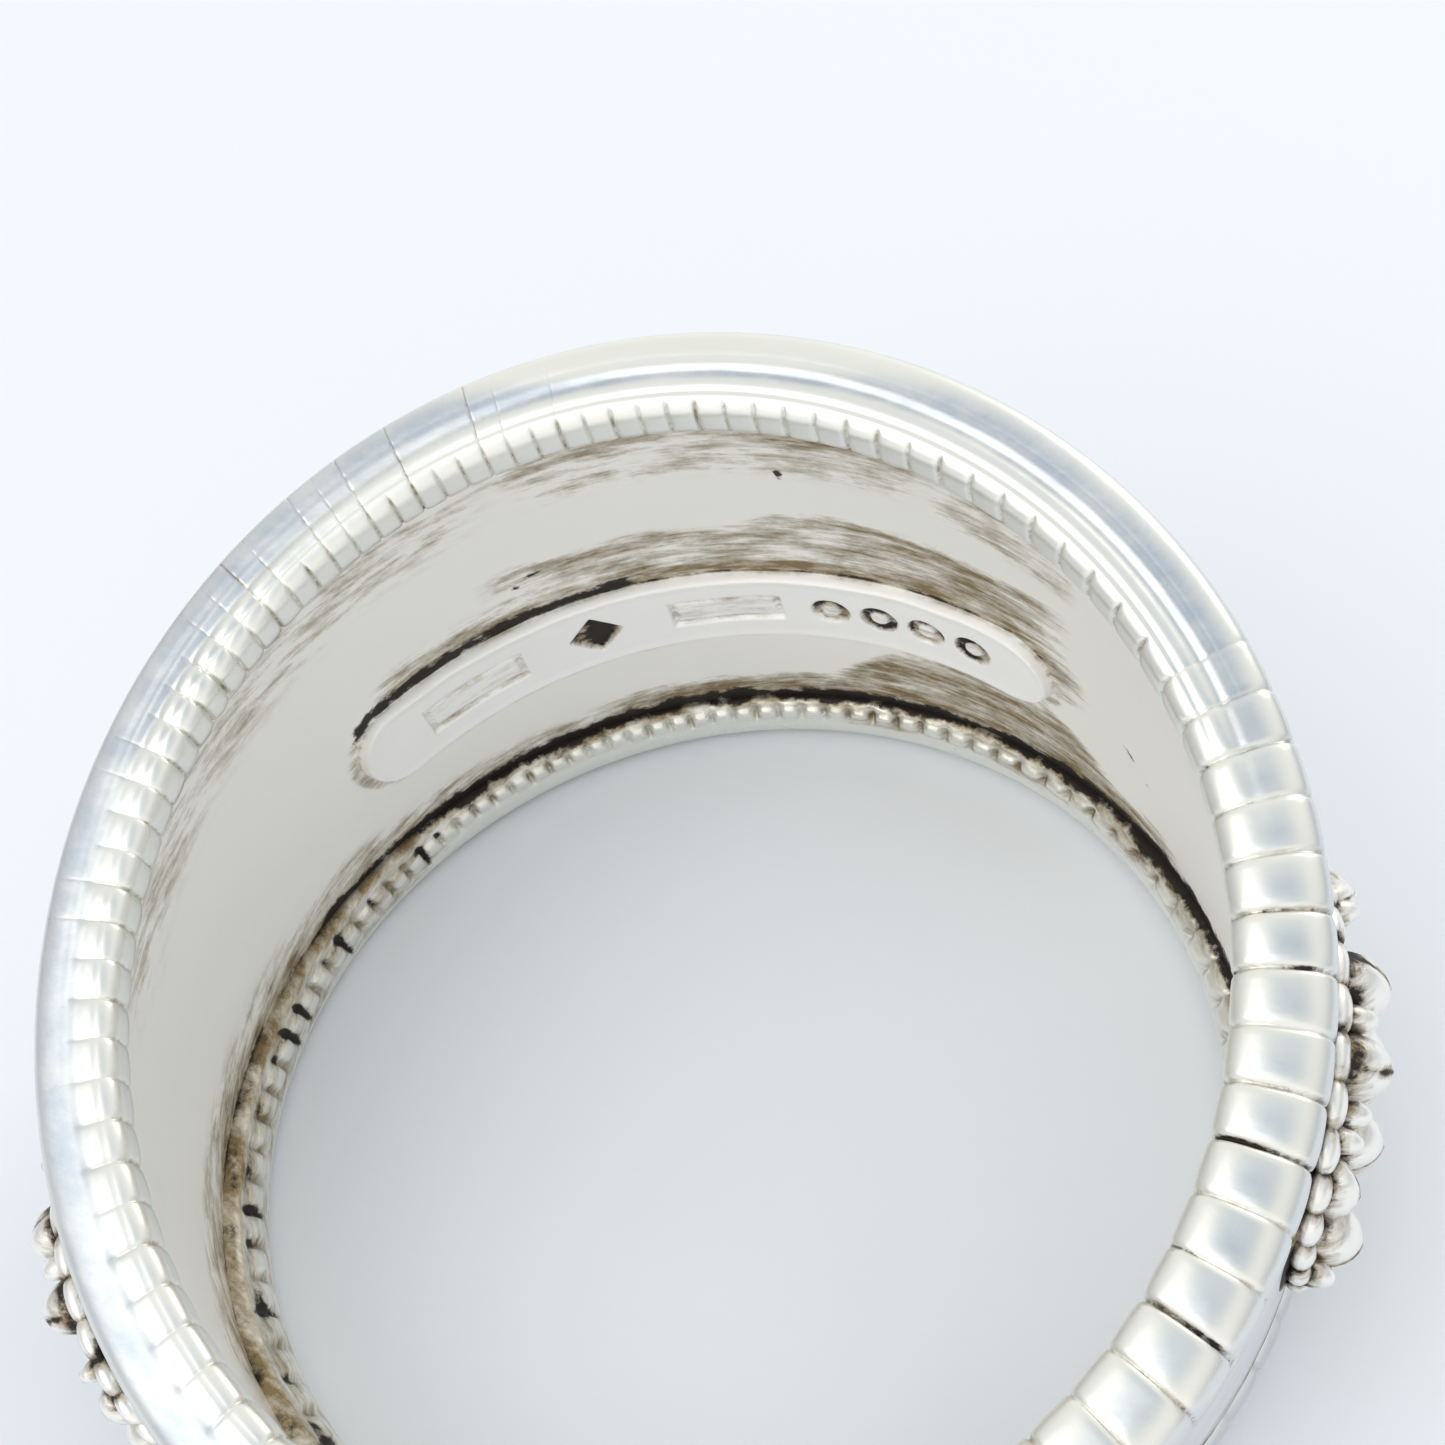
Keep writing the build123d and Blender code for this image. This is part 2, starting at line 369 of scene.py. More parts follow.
band_silver = silver_material("polished_band", 0.45, 0.35, 0.2, white=(0.985, 0.96, 0.90), mirror=0.75)
rim_silver = silver_material("worn_beads", 0.30, 0.25, 0.3, white=(0.89, 0.885, 0.825))
plate_silver = silver_material("pressed_plate", 0.50, 0.4, 0.45, white=(0.985, 0.975, 0.95), mirror=0.4)
flower_silver = silver_material("oxidised_flower", 0.28, 0.2, 0.4, white=(0.95, 0.93, 0.88))
print("materials", [m.name for m in bpy.data.materials])

# %% [markdown]
# The band is a strip of sheet silver bent round a mandrel and domed outwards. A Screw modifier could turn
# its section. A closed grid does the same and lets the tarnish follow the real stains: along both rims,
# round the plate's edge and in the streaked belt above the plate.

# %% Sizes of the band, the rims and the plate
wall_set_back = 0.25
wall_thickness = 0.8
wall_bulge = 0.2
dome_half = 5.15
rim_depth = 1.33
upper_rim_height = 0.8
lower_rim_height = 1.1
plate_height = 1.85
plate_centre = 98.0
plate_angle = math.radians(93)
plate_level = -0.9
plate_rise = 0.2
wall_inner_edge = bore_radius + wall_set_back
wall_outer_edge = wall_inner_edge + wall_thickness


def dome(height):
    """How far the band bulges at a height: a parabola that is full in the middle."""
    return wall_bulge * (1 - (height / dome_half) ** 2)


def off_plate(angle):
    """Signed angle from the plate's middle, in radians, positive towards +X."""
    return (math.radians(plate_centre) - angle + np.pi) % (2 * np.pi) - np.pi


plate_radius = wall_inner_edge + dome(plate_level) - plate_rise
plate_half = plate_height / 2
plate_straight = plate_angle / 2 - plate_half / plate_radius


def plate_distance(angle, height):
    """Distance outside the plate's outline, which is a straight strip with round ends; negative inside."""
    along = np.abs(off_plate(angle)) * plate_radius
    beyond = np.maximum(along - plate_straight * plate_radius, 0)
    return np.hypot(beyond, height - plate_level) - plate_half

# %% Stains on the inside of the band


def seam_gaps(angle, height):
    """Distances from the upper seam down and from the lower seam up, both along the hole."""
    end = end_height(wall_inner_edge, angle)
    return end - upper_rim_height - height, height + end - lower_rim_height


# Patches of film that are darkest at an edge and fade off to both sides. The columns are the edge, how far
# off it the patch is darkest, its reach in mm, its strength, and the directions in degrees at which it starts
# and ends with the degrees over which it fades out. From -90 to 270 is all the way round.
film_bells = [
    ("plate_top", 0.10, 0.40, 0.75, 52, 134, 6),
    ("plate_end", 0.10, 0.40, 0.55, 44, 54, 5),
    ("plate", 0.05, 0.10, 0.35, -90, 270, 0),
    ("ragged_near_seam", 0.10, 0.30, 0.42, 108, 172, 8),
    ("far_seam", 0.00, 0.40, 0.70, 40, 215, 8),
    ("far_seam", 0.10, 0.50, 0.50, 150, 215, 6),
]

# Patches that fill the metal from a seam to a limit in mm, where they fade from the first to the second
# number after it. The strength and the directions follow.
film_fills = [
    ("near_seam", 1.25, -0.50, 0.40, 0.27, 72, 106, 10),
    ("near_seam", 1.50, -0.40, 0.30, 0.30, 50, 62, 5),
    # This row darkens the wall brown just below the upper seam on the left. It is strongest near the seam and
    # fades out below it.
    ("near_seam", 1.20, -0.70, 0.60, 0.19, 124, 178, 14),
    ("far_seam", 0.70, -0.10, 0.30, 0.85, 40, 106, 12),
]


def inside_film(angle, height):
    """Brown film on the band's inside: the largest of patches that fade by bell curves and smooth steps."""
    below, above = seam_gaps(angle, height)
    gap = plate_distance(angle, height)
    degrees = np.degrees(angle)
    over = fade(height, plate_level, plate_level + 0.8)
    drift = wander(angle, 5, 3, 24)
    belt_top = 1.35 + 0.35 * bump(degrees, 75, 22) + 0.25 * drift
    belt = over * fade(belt_top - height, -0.15, 0.2) * fade(gap, -0.1, 0.1)
    belt_strength = 0.36 + 0.16 * bump(height - belt_top, -0.15, 0.3) + 0.22 * bump(degrees, 62, 16)
    pool_top = 1.9 * stretch_of(angle, 56, 70, 24)
    patches = [
        belt * belt_strength * stretch_of(angle, 58, 112, 12),
        fade(0.55 + 0.2 * drift - below, -0.3, 0.2) * 0.62 * stretch_of(angle, 68, 108, 8),
        fade(pool_top - above, -0.05, 0.3) * 0.66 * stretch_of(angle, 46, 92, 8),
    ]
    # Each edge is a distance in mm and the share of it that holds film.
    edges = {"plate": (gap, 1), "plate_top": (gap, over), "plate_end": (gap, fade(height, -1.5, -0.4)),
             "near_seam": (below, 1), "ragged_near_seam": (below, 0.6 + 0.4 * wander(angle, 8, 6, 30)),
             "far_seam": (above, 1)}
    for edge, middle, reach, strength, first, last, soft in film_bells:
        distance, share = edges[edge]
        line = bump(distance, middle, reach) * share
        patches.append(line * strength * stretch_of(angle, first, last, soft))
    for edge, limit, faint, full, strength, first, last, soft in film_fills:
        distance, share = edges[edge]
        fill = fade(limit - distance, faint, full) * share
        patches.append(fill * strength * stretch_of(angle, first, last, soft))
    return np.max(np.stack(patches), axis=0)


# Black lines along an edge: how far off it, reach in mm, more reach where the line is jagged, strength, and
# the directions as above.
crust_lines = [
    ("near_seam", 0.00, 0.13, 0.00, 0.95, 108, 142, 6),
    ("near_seam", 0.00, 0.08, 0.00, 0.55, 70, 114, 8),
    ("plate_top", 0.08, 0.16, 0.00, 1.00, 106, 141, 4),
    ("plate_top", 0.00, 0.05, 0.00, 0.60, -90, 270, 0),
    ("far_seam", 0.00, 0.18, 0.14, 1.05, 5, 118, 6),
    ("far_seam", 0.00, 0.13, 0.10, 1.00, 118, 158, 4),
    ("far_seam", 0.00, 0.07, 0.00, 0.60, 152, 222, 4),
]

# Black spots: direction in degrees, height in mm, their reach in each, and strength.
crust_spots = [
    (82.9, 2.85, 0.5, 0.14, 0.95),
    (117.0, 0.95, 0.7, 0.10, 0.90),
    (114.6, 1.12, 1.2, 0.07, 0.90),
]


def inside_crust(angle, height):
    """Black tarnish on the band's inside: lines along both seams and the plate, three spots and a scratch."""
    below, above = seam_gaps(angle, height)
    over = fade(height, plate_level + 0.2, plate_level + 0.8)
    degrees = np.degrees(angle)
    jag = 0.5 + 0.5 * wander(angle, 9, 20, 90)
    edges = {"near_seam": (below, 1), "far_seam": (above, 1),
             "plate_top": (plate_distance(angle, height), over)}
    scratch = height - (0.12 * (degrees - 42) - 0.8)
    marks = [bump(scratch, 0, 0.06) * 0.5 * stretch_of(angle, 36, 42, 1.5)]
    for edge, middle, reach, jagged, strength, first, last, soft in crust_lines:
        distance, share = edges[edge]
        line = bump(distance, middle, reach + jagged * jag)
        marks.append(line * strength * share * stretch_of(angle, first, last, soft))
    for at, level, wide, high, strength in crust_spots:
        marks.append(bump(degrees, at, wide) * bump(height, level, high) * strength)
    return np.max(np.stack(marks), axis=0)

# %% Band
# A painted blue-grey reflection over the whole outside of the band.
outside_painted_reflection = 0.6


def make_band(around_count=720, inside_count=98, outside_count=34):
    """Closed strip: up the inside, across the top, down the outside and back, between the slanted rims."""
    angle = np.linspace(0, 2 * np.pi, around_count, endpoint=False)[:, None]
    share = np.concatenate([np.linspace(0, 1, inside_count), np.linspace(1, 0, outside_count)])[None, :]
    inside = (np.arange(inside_count + outside_count) < inside_count)[None, :]
    end = end_height(wall_inner_edge, angle)
    low = lower_rim_height / 2 - end
    high = end - upper_rim_height / 2
    height = low + (high - low) * share
    turn = angle + 0 * height
    radius = np.where(inside, wall_inner_edge, wall_outer_edge) + dome(height)
    radius = radius + 0.012 * wander(turn, 3, 2, 9) * bump(share, 0.5, 0.25)
    below, above = seam_gaps(turn, height)
    nearest_seam = np.minimum(np.abs(below), np.abs(above))
    crust = np.where(inside, inside_crust(turn, height), 0.75 * bump(nearest_seam, 0, 0.12))
    film = np.where(inside, inside_film(turn, height), 0.5 * bump(nearest_seam, 0, 0.5))
    painted_reflection = np.where(inside, 0.0, outside_painted_reflection)
    faces = grid_faces(around_count, inside_count + outside_count, True, True)
    points = around(radius, turn, height).reshape(-1, 3)
    return add_mesh("band", points, faces, film, crust, band_silver, painted_reflection + 0 * turn)


band = make_band()
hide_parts("ring")

# %% [markdown]
# Each rim is a heavy wire filed across with a bead saw. Its beads are small and nearly worn away at the
# back and bold at the front. Separate beads on a wire would look alike, so one surface is worked out: a
# rounded square section carried round the ring, pressed in at every cut and a little crowned between.

# %% Beads along a rim
bead_pitch = 0.6
bead_grading = 0.3
largest_bead_at = -60.0
bead_count = round(2 * math.pi * (bore_radius + rim_depth / 2) / bead_pitch)


def bead_rows(steps):
    """Steps round the rim, crowded at the cuts: each row's angle, place in its bead and nearest cut."""
    place = np.tile(steps, bead_count)
    number = np.repeat(np.arange(bead_count), len(steps))
    stretch = 2 * np.pi * (number + 1 + place / 2) / bead_count
    angle = math.radians(largest_bead_at) + stretch + bead_grading * np.sin(stretch)
    return angle[:, None], place[:, None], (number + (place > 0)) % bead_count


def square_section(top_count, side_count):
    """Even points round a square from -1 to 1: across, then upward."""
    top = np.linspace(-1, 1, top_count, endpoint=False)
    side = np.linspace(-1, 1, side_count, endpoint=False)
    across = np.concatenate([top, np.ones(side_count), -top[::3], -np.ones(side_count)])
    upward = np.concatenate([np.ones(top_count), -side, -np.ones(len(top[::3])), side])
    return across[None, :], upward[None, :]

# %% [markdown]
# Wear differs round a rim. At the front the beads stand bold, with grey in the cuts. At the back they are
# rubbed down to blocks below lines worn along the face, and the far rim keeps a row of small beads under a
# hollow full of tarnish. Sculpting could place each mark. Here zones and cuts are arrays from 0 to 1, so a
# mark is the product of the zones that it lies in.

# %% Wear and tarnish of the rims
step_places = np.array([-0.95, -0.88, -0.76, -0.55, -0.28, 0, 0.28, 0.55, 0.76, 0.88, 0.95, 1.0])
front_cut = 0.050
front_crown = 0.022
block_cut = 0.045
block_crown = 0.010
lump_cut = 0.015
lump_crown = 0.030
hairline_cut = 0.012
hollow_depth = 0.12
ragged_depth = 0.06

# Lines worn along the end face: place across it, reach, and depth in mm.
face_lines = [(-0.14, 0.13, 0.050), (-0.58, 0.05, 0.026), (0.22, 0.06, 0.016)]


def near_rim_wear(turn, zone, cuts):
    """Bold beads at the front, and at the back blocks on the hole's side below lines worn along the face."""
    front = zone["bold"] * (front_cut * cuts["cut"] + front_crown * cuts["crown"])
    blocks = zone["hole_side"] * zone["worn"] * (block_cut * cuts["cut"] + block_crown * cuts["crown"])
    blocks = blocks * zone["soft"]
    lumps = zone["inner_half"] * zone["worn"] * (lump_cut * cuts["cut"] + lump_crown * cuts["crown"])
    lumps = lumps * zone["left"]
    scored = cuts["thin_cut"] * cuts["hairline"] * zone["worn"] * zone["end_face"]
    scored = scored * stretch_of(turn, 108, 190, 8)
    press = cuts["uneven"] * (front + blocks + lumps) + hairline_cut * scored
    seam_dirt = zone["worn"] * zone["hole_side"] * zone["seam_side"] * (0.5 + 0.5 * zone["back"])
    crust = cuts["uneven"] * cuts["cut"] * (0.44 * zone["bold"] + 0.62 * seam_dirt)
    film = cuts["uneven"] * cuts["cut"] * (0.32 * zone["bold"] + 0.30 * zone["worn"] * zone["hole_side"])
    film = film + 0.45 * scored + 1.5 * zone["lines"]
    # Brownish darkening on the lower half of the rim's hole side, from the back round to the left.
    film = np.maximum(film, 0.40 * zone["hole_side"] * zone["seam_side"] * stretch_of(turn, 66, 175, 12))
    return press, film, np.maximum(crust, 0.85 * zone["underside"])


def far_rim_wear(turn, zone, cuts):
    """A row of small beads low on the hole's side, above them a ragged hollow filled with tarnish."""
    bead_level = lower_rim_height * (0.76 - 0.20 * zone["left"])
    bead_reach = lower_rim_height * (0.20 + 0.08 * zone["left"])
    above_end = lower_rim_height / 2 * (1 - zone["upward"])
    bead = bump(above_end, bead_level, bead_reach) * fade(1 - np.abs(cuts["place"]), 0.0, 0.55)
    hollow = zone["hole_side"] * fade(above_end, bead_level - 1.5 * bead_reach, bead_level)
    front = zone["bold"] * (front_cut * cuts["cut"] + front_crown * cuts["crown"]) * cuts["uneven"]
    press = hollow * (hollow_depth + ragged_depth * cuts["ragged"]) * (1 - bead) + front
    crust = hollow * fade(above_end, bead_level + 0.1 * bead_reach, bead_level + 0.9 * bead_reach)
    pocket = bump(1 - np.abs(cuts["place"]), 0, 0.32) * cuts["hairline"]
    crust = (0.95 - 0.5 * zone["left"]) * crust * (1 - 0.6 * bead) + 1.3 * hollow * zone["left"] * pocket
    brown = 0.35 + 0.65 * np.maximum(zone["left"], stretch_of(turn, 30, 80, 10))
    film = np.maximum(hollow * (0.85 - 0.75 * bead) * brown, 0.8 * fade(-zone["upward"], 0.7, 0.95))
    return press, film, np.maximum(crust, (0.85 - 0.55 * zone["left"]) * zone["underside"])


def rim_painted_reflection(turn, across, zone, place):
    """Painted blue-grey reflection of the darker camera side: a stripe along the worn end face, a patch on
    each bold bead and the outer side.
    """
    aside = np.maximum(stretch_of(turn, 122, 235, 22), 0.7 * stretch_of(turn, 12, 58, 22))
    stripe = zone["end_face"] * zone["worn"] * bump(across, -0.14 + 0.50 * aside, 0.17 + 0.40 * aside)
    patch = 0.6 * zone["end_face"] * zone["bold"] * bump(across, 0.05, 0.35) * bump(place, -0.3, 0.5)
    return np.maximum(np.maximum(stripe, patch), 0.5 * fade(across, 0.75, 0.95))

# %% Rims


def make_rim(name, side, rim_height, wear, seed):
    """Square section pressed in at the cuts by bell curves, on the upper side, 1, or the lower side, -1."""
    turn, place, nearest_cut = bead_rows(step_places)
    draw = np.random.default_rng(seed)
    uneven = draw.uniform(0.55, 1.35, bead_count)[nearest_cut][:, None]
    hairline = draw.choice([0.0, 0.3, 1.0], bead_count)[nearest_cut][:, None]
    cuts = {"place": place, "uneven": uneven, "hairline": hairline, "crown": place**2,
            "cut": bump(1 - np.abs(place), 0, 0.10), "thin_cut": bump(1 - np.abs(place), 0, 0.05),
            "ragged": wander(turn, seed, 20, 90)}
    bold = fade(np.cos(turn - math.radians(-45)), 0.2, 0.6)
    across, upward = square_section(30, 24)
    power = 3.4 - 0.9 * bold
    shrink = (np.abs(across) ** power + np.abs(upward) ** power) ** (-1 / power)
    across = across * shrink
    upward = upward * shrink
    worn = 1 - bold
    zone = {"bold": bold, "worn": worn, "upward": upward,
            "left": stretch_of(turn, 150, 235, 15), "back": stretch_of(turn, 66, 128, 14),
            "soft": 1 - 0.75 * stretch_of(turn, 168, 240, 16),
            "hole_side": fade(-across, 0.72, 0.95), "inner_half": fade(-across, -0.1, 0.35),
            "end_face": fade(upward, 0.55, 0.9), "seam_side": fade(-upward, 0.1, 0.9),
            "underside": fade(-upward, 0.8, 0.98)}
    grooves = sum(depth * bump(across, middle, reach) for middle, reach, depth in face_lines)
    zone["lines"] = zone["end_face"] * worn * zone["soft"] * grooves
    press, film, crust = wear(turn, zone, cuts)
    # Painted blue-grey reflection on the worn end face, the bold beads and the outer side of the rim.
    painted_reflection = rim_painted_reflection(turn, across, zone, place)
    radius = np.maximum(bore_radius + rim_depth / 2 + across * (rim_depth / 2 - press), bore_radius)
    rise = rim_height / 2 + upward * (rim_height / 2 - press) - zone["lines"]
    height = side * (end_height(radius, turn) - rim_height + rise)
    faces = grid_faces(len(turn), across.shape[1], True, True)[:, ::side]
    points = around(radius, turn + 0 * radius, height).reshape(-1, 3)
    return add_mesh(name, points, faces, film + 0 * radius, crust + 0 * radius, rim_silver, painted_reflection)


make_rim("upper_beaded_rim", 1, upper_rim_height, near_rim_wear, 11)
make_rim("lower_beaded_rim", -1, lower_rim_height, far_rim_wear, 12)

# %% [markdown]
# The plate is a thin strip with round ends, pressed with a few tool marks and soldered in. A height map
# over the strip says how far each point stands off the wall: a flat top, a soft bevel and shallow marks.

# %% Plate
plate_ripple = 0.015
plate_dish = 0.02
plate_sink = 0.10
mark_depth = 0.085
bar_half_length = 1.0
bar_half_height = 0.38
lozenge_reach = 0.53
round_radius = 0.36
bar_shares = (-0.315, 0.042)
lozenge_share = -0.137
round_shares = (0.183, 0.249, 0.315, 0.382)


def tool_marks(along, across):
    """Depth of the marks, from 0 to 1: bars and a lozenge by edge distance, and rounds by their radius."""
    reach = plate_angle * plate_radius
    depth = np.zeros_like(along)
    for share in bar_shares:
        edge = np.maximum(np.abs(along - share * reach) - bar_half_length, np.abs(across) - bar_half_height)
        depth = np.maximum(depth, fade(-edge, 0, 0.06) * (1 - 0.6 * fade(-edge, 0.10, 0.18)))
    edge = np.abs(along - lozenge_share * reach) + np.abs(across) - lozenge_reach
    depth = np.maximum(depth, 1.3 * fade(-edge, 0, 0.10))
    for share in round_shares:
        distance = np.hypot(along - share * reach, across)
        ring_mark = fade(round_radius - distance, 0, 0.07) * (1 - 0.8 * fade(0.2 - distance, 0, 0.07))
        depth = np.maximum(depth, ring_mark)
    return depth


def make_plate(along_count=560, across_count=84):
    """Strip on a grid that narrows to its round ends; the radius shrinks where the strip stands proud."""
    u = np.linspace(-1, 1, along_count)[:, None]
    v = np.linspace(-1, 1, across_count)[None, :]
    length = plate_angle / 2 * plate_radius
    along = length * np.sign(u) * (1 - (1 - np.abs(u)) ** 1.15) + 0 * v
    beyond = np.maximum(np.abs(along) - (length - plate_half), 0)
    half = np.sqrt(np.maximum(plate_half**2 - beyond**2, 1e-6))
    across = np.sign(v) * np.abs(v) ** 0.85 * half
    angle = math.radians(plate_centre) - along / plate_radius
    height = plate_level + across
    gap = -plate_distance(angle, height)
    bevel = fade(gap, 0.0, 0.12)
    wall = wall_inner_edge + dome(height)
    marks = tool_marks(along, across)
    ripple = plate_ripple * wander(along / length * 3, 21, 3, 14) * fade(across, -0.2, 0.9)
    dish = plate_dish * fade(gap, 0.12, 0.3)
    stands_off = (plate_rise + plate_sink + ripple) * bevel - plate_sink
    radius = wall - stands_off + dish + mark_depth * marks
    dark = 0.55 + 0.45 * wander(along / length * 3, 22, 6, 40)
    shares = along / (plate_angle * plate_radius)
    heavy = 0.05 + 0.95 * np.maximum(bump(shares, lozenge_share, 0.07), fade(shares, 0.12, 0.17))
    edge_crust = 0.9 * (1 - fade(gap, 0.0, 0.06)) * fade(across, -0.3, 0.5)
    crust = np.maximum(edge_crust, 1.25 * marks * heavy * dark)
    film = np.maximum((0.25 + 0.5 * heavy) * marks, 0.7 * (1 - fade(gap, 0.0, 0.08)))
    top = around(radius, angle, height)
    under = around(wall + 0.2, angle, height)
    points = np.concatenate([top.reshape(-1, 3), under.reshape(-1, 3)])
    faces = grid_faces(along_count, across_count, False, False)
    count = along_count * across_count
    last = across_count - 1
    edge = np.concatenate([np.arange(across_count), np.arange(1, along_count) * across_count + last,
                           count - 2 - np.arange(last), np.arange(along_count - 2, 0, -1) * across_count])
    after = np.roll(edge, -1)
    skirt = np.stack([edge, after, after + count, edge + count], axis=-1)
    faces = np.concatenate([faces[:, ::-1], skirt, faces + count])
    return add_mesh("inner_plate", points, faces, np.tile(film, (2, 1)), np.tile(crust, (2, 1)), plate_silver)


make_plate()

# %% [markdown]
# The flowers on the flanks are relief work: a boss, petals and granules soldered on a low oval pad, with
# the gaps between them left black. Each is a closed cap laid out flat and then wrapped round the band.

# %% Sizes of the flowers
motif_centres = (-1.0, -153.0)
motif_length = 6.4
motif_height = 3.0
motif_level = (lower_rim_height - upper_rim_height) / 2
pad_rise = 0.16
petal_ring = 1.04
petal_count = 6
petal_long = 0.5
petal_short = 0.44
granule_radius = 0.22
bud_reach = 2.31
wall_outer_middle = wall_outer_edge + wall_bulge

# %% Caps, pads and beaded wire


def cap(along, across, long_reach, short_reach, tilt, top, crease=0.0, rings=17, spokes=30):
    """Closed cap: a half egg over a flat one, with a crease of a bell section down its middle."""
    theta = np.linspace(0, np.pi, rings)[:, None]
    phi = np.linspace(0, 2 * np.pi, spokes, endpoint=False)[None, :]
    x = long_reach * np.sin(theta) * np.cos(phi)
    y = short_reach * np.sin(theta) * np.sin(phi)
    rise = np.cos(theta) + 0 * phi
    lift = np.where(rise > 0, top * np.abs(rise) ** 0.85, -0.3 * np.abs(rise))
    lift = lift - crease * bump(y, 0, 0.22 * short_reach) * (rise > 0) * np.sin(theta)
    place = np.stack([along + x * np.cos(tilt) - y * np.sin(tilt),
                      across + x * np.sin(tilt) + y * np.cos(tilt), lift], axis=-1)
    dark = 1 - fade(lift, 0.3 * top, 0.8 * top)
    dark = np.maximum(dark, 0.8 * bump(y, 0, 0.12 * short_reach) * (crease > 0))
    return place.reshape(-1, 3), grid_faces(rings, spokes, False, True)[:, ::-1], dark.ravel()


def pad(rings=14, spokes=96):
    """Closed oval slab: out over its face and back under it, its edge rounded by a power curve."""
    t = np.linspace(0, 1, rings)
    reach = np.concatenate([t, t[::-1]])[:, None]
    phi = np.linspace(0, 2 * np.pi, spokes, endpoint=False)[None, :]
    lift = np.concatenate([pad_rise * (1 - t**8), np.full(rings, -0.25)])[:, None] + 0 * phi
    place = np.stack([motif_length / 2 * reach * np.cos(phi), motif_height / 2 * reach * np.sin(phi), lift],
                     axis=-1)
    dark = 0.95 + 0 * lift
    return place.reshape(-1, 3), grid_faces(2 * rings, spokes, False, True)[:, ::-1], dark.ravel()


def beaded_wire(long_reach, short_reach, thickness, beads, base, section_count=12):
    """Wire round an oval, swollen into beads: its thickness follows the size of a sine of the turn."""
    count = beads * 10
    phi = np.linspace(0, 2 * np.pi, count, endpoint=False)[:, None]
    section = np.linspace(0, 2 * np.pi, section_count, endpoint=False)[None, :]
    swell = np.abs(np.sin(beads / 2 * phi)) ** 0.6
    thick = thickness * (0.55 + 0.45 * swell)
    out = thick * np.cos(section)
    place = np.stack([(long_reach + out) * np.cos(phi), (short_reach + out) * np.sin(phi),
                      base + thick * np.sin(section)], axis=-1)
    dark = np.maximum(0.8 * (1 - swell) + 0 * out, 0.8 * fade(-np.sin(section), 0.1, 0.8) + 0 * thick)
    return place.reshape(-1, 3), grid_faces(count, section_count, True, True)[:, ::-1], dark.ravel()

# %% Flowers
wire_thickness = 0.17
wire_beads = 30
edge_room = 0.1
egg = {"crease": 0.08}
granule = {"rings": 11, "spokes": 18}

# Forms on either side of the flower: place along it and across it, half length, half width, tilt in radians,
# height, and how it is drawn. Those off the middle line come in mirrored pairs.
side_forms = [
    (bud_reach, 0.0, 0.50, 0.46, 0.0, 0.82, egg),
    (bud_reach + 0.52, 0.0, granule_radius, granule_radius, 0.0, 0.62, granule),
    (bud_reach - 0.30, 0.66, 0.44, 0.22, -0.75, 0.66, {"crease": 0.06, "rings": 11, "spokes": 20}),
    (bud_reach - 0.78, 1.00, 0.19, 0.19, 0.0, 0.60, {"rings": 9, "spokes": 14}),
]


def flower_parts():
    """Every closed form of one flower, laid out flat: along the band, across it, and up from it."""
    parts = [pad(), beaded_wire(motif_length / 2 - wire_thickness - 0.07, motif_height / 2 - wire_thickness,
                                wire_thickness, wire_beads, pad_rise)]
    parts.append(cap(0, 0, 0.66, 0.6, 0, 0.88, **egg))
    reach = petal_ring + petal_long - 2 * granule_radius
    for i in range(petal_count):
        turn = 2 * math.pi * i / petal_count
        gap = turn + math.pi / petal_count
        parts.append(cap(petal_ring * math.cos(turn), petal_ring * math.sin(turn), petal_long, petal_short,
                         turn, 0.86, crease=0.12))
        parts.append(cap(reach * math.cos(gap), reach * math.sin(gap), granule_radius, granule_radius,
                         0, 0.66, **granule))
    for side in (-1, 1):
        for along, across, long_reach, short_reach, tilt, top, drawn in side_forms:
            for half in ((-1, 1) if across else (1,)):
                parts.append(cap(side * along, half * across, long_reach, short_reach, side * half * tilt,
                                 top, **drawn))
    return parts


def make_flower(name, centre, flare):
    """Joins the parts and wraps them round the band, its upper side flared out as cast relief often is."""
    points, faces, hollow, offset = [], [], [], 0
    for place, quads, dark in flower_parts():
        points.append(place)
        faces.append(quads + offset)
        hollow.append(dark)
        offset += len(place)
    along, across, lift = np.concatenate(points).T
    dark = np.concatenate(hollow)
    angle = math.radians(centre) + along / wall_outer_middle
    room = end_height(wall_outer_edge, math.radians(centre)) - (upper_rim_height + lower_rim_height) / 2
    height = motif_level + across * (room - edge_room) / (motif_height / 2)
    radius = wall_outer_edge + dome(height) + lift + flare * fade(across * (lift > 0), 0, 1.3)
    points = around(radius, angle, height)
    return add_mesh(name, points, np.concatenate(faces), dark, 0.8 * dark, flower_silver)


make_flower("right_flower", motif_centres[0], 0.0)
make_flower("left_flower", motif_centres[1], 0.22)

# %% [markdown]
# The photograph is high-key: a white table, white surroundings and a large soft window, so the silver is
# bright all over, and only what faces the darker camera side is grey. The room is a world whose brightness
# changes with direction, with greyer walls at both sides so that polished metal has something to mirror.
# Two large area lights give the long highlights on the rims.

# %% Table, room and lights


def make_table(side=400.0):
    """Flat square far larger than the ring, at the height that the ring rests on."""
    corner = side / 2 * MM
    mesh = bpy.data.meshes.new("table_top")
    mesh.from_pydata([(-corner, -corner, 0), (corner, -corner, 0), (corner, corner, 0), (-corner, corner, 0)],
                     [], [(0, 1, 2, 3)])
    table = bpy.data.objects.new("table_top", mesh)
    bpy.context.scene.collection.objects.link(table)
    material = bpy.data.materials.new("white_table")
    material.use_nodes = True
    shader = material.node_tree.nodes["Principled BSDF"]
    shader.inputs["Base Color"].default_value = (0.88, 0.91, 0.965, 1)
    shader.inputs["Roughness"].default_value = 0.7
    mesh.materials.append(material)
    return table


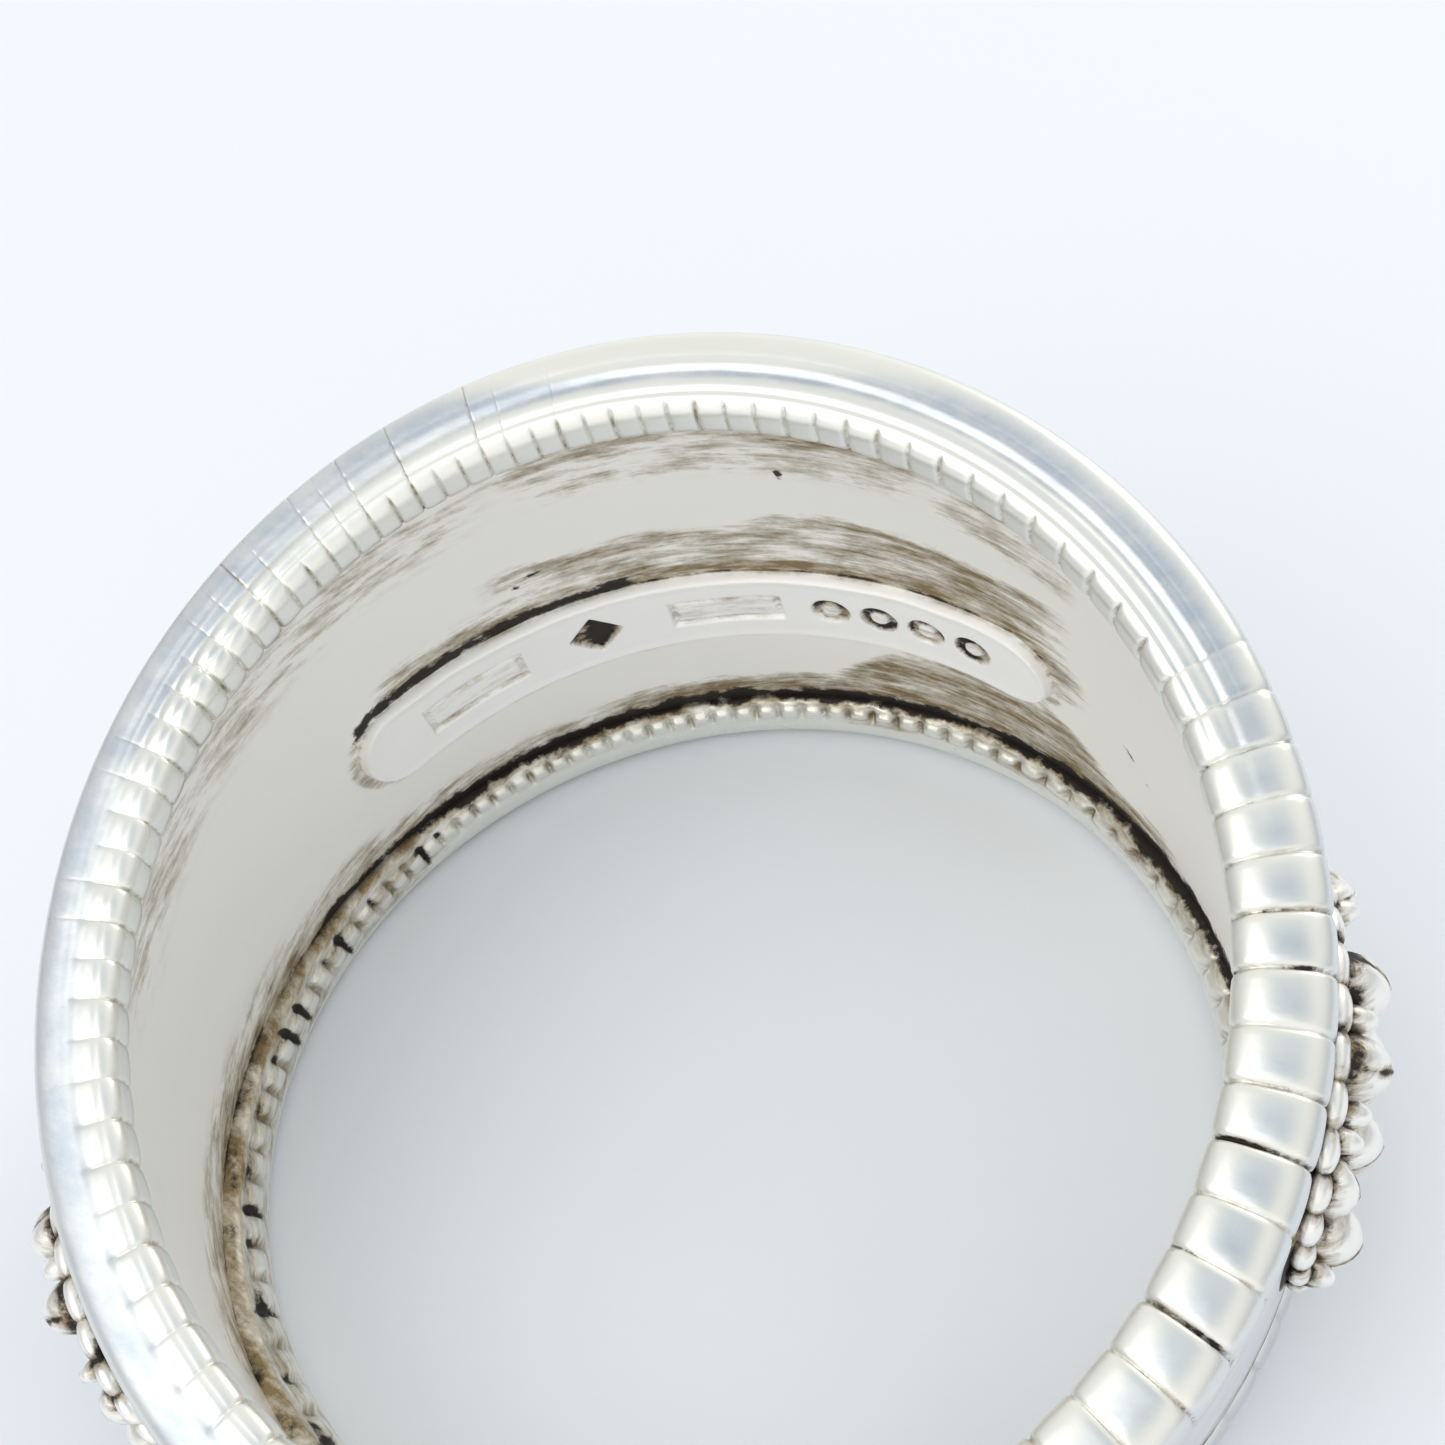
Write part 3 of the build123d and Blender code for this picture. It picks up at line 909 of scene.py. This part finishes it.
room_low = (1.14, 1.13, 1.11)
room_sides = (0.50, 0.53, 0.57)
room_high = (0.90, 0.91, 0.90)
holder_colour = (0.56, 0.64, 0.73)
holder_direction = (0.10, -0.36, 0.93)


def make_room():
    """Bright world, greyer overhead and at both sides, with a soft dark patch where the camera is held."""
    world = bpy.data.worlds.new("bright_room")
    world.use_nodes = True
    tree = world.node_tree
    place = add_node(tree, "ShaderNodeTexCoord")
    split = add_node(tree, "ShaderNodeSeparateXYZ", {"Vector": place.outputs["Generated"]})
    aside = remap(tree, math_node(tree, "ABSOLUTE", split.outputs["X"], 0.0), 0.45, 0.85)
    walls = add_node(tree, "ShaderNodeMix", {"Factor": aside, "A": (*room_low, 1), "B": (*room_sides, 1)},
                     data_type="RGBA")
    level = remap(tree, split.outputs["Z"], 0.0, 0.75, 0.0, 1.0)
    sky = add_node(tree, "ShaderNodeMix", {"Factor": level, "A": walls.outputs["Result"],
                   "B": (*room_high, 1)}, data_type="RGBA")
    aligned = add_node(tree, "ShaderNodeVectorMath", {0: place.outputs["Generated"], 1: holder_direction},
                       operation="DOT_PRODUCT")
    near_holder = remap(tree, aligned.outputs["Value"], 0.90, 0.985)
    colour = add_node(tree, "ShaderNodeMix", {"Factor": near_holder, "A": sky.outputs["Result"],
                      "B": (*holder_colour, 1)}, data_type="RGBA")
    tree.links.new(colour.outputs["Result"], tree.nodes["Background"].inputs["Color"])
    tree.nodes["Background"].inputs["Strength"].default_value = 1.0
    bpy.context.scene.world = world
    return world


def make_light(name, azimuth, elevation, distance, size, power, colour):
    """Square area light on a sphere round the ring, aimed at its middle."""
    away = direction(azimuth, elevation)
    light = bpy.data.objects.new(name, bpy.data.lights.new(name, "AREA"))
    light.data.shape = "SQUARE"
    light.data.size = size * MM
    light.data.energy = power
    light.data.color = colour
    light.location = away * distance * MM
    light.rotation_mode = "QUATERNION"
    light.rotation_quaternion = (-away).to_track_quat("-Z", "Y")
    bpy.context.scene.collection.objects.link(light)
    return light


make_table()
make_room()
make_light("window", 322, 46, 300, 220, 0.165, (1.0, 0.99, 0.95))
make_light("lamp", 142, 38, 280, 110, 0.09, (1.0, 0.97, 0.88))
bpy.context.scene.view_settings.view_transform = "Standard"
